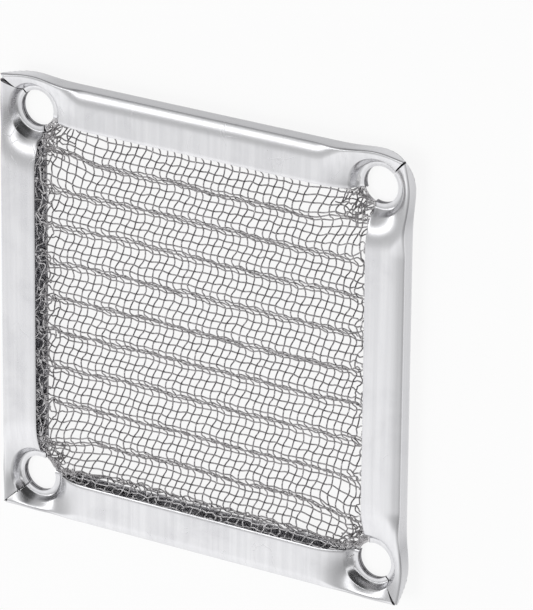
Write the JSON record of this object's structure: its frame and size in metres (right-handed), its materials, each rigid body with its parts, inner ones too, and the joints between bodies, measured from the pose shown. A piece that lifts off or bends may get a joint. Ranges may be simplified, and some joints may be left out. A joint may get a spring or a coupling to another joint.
{
  "type": "fan dust filter",
  "caption": "Square dust filter for a small fan: a folded aluminium frame with pressed corner screw holes round a corrugated wire mesh.",
  "frame": {"origin": "centre of the filter's outline on the plane of its flat back, so the origin is the middle of the bounding box's bottom face", "axes": "+Z out of the front, the side with the inward flanges; the mesh's ridges run along X"},
  "size_m": [0.0596, 0.0596, 0.0031],
  "materials": {
    "aluminium": "natural mill finish, satin with a fine rolled grain, polished where it is folded and pressed",
    "steel_wire": "drawn bare wire, woven and corrugated"
  },
  "bodies": {
    "root": {"frame": "aluminium", "wire_mesh": "steel_wire"}
  },
  "joints": []
}
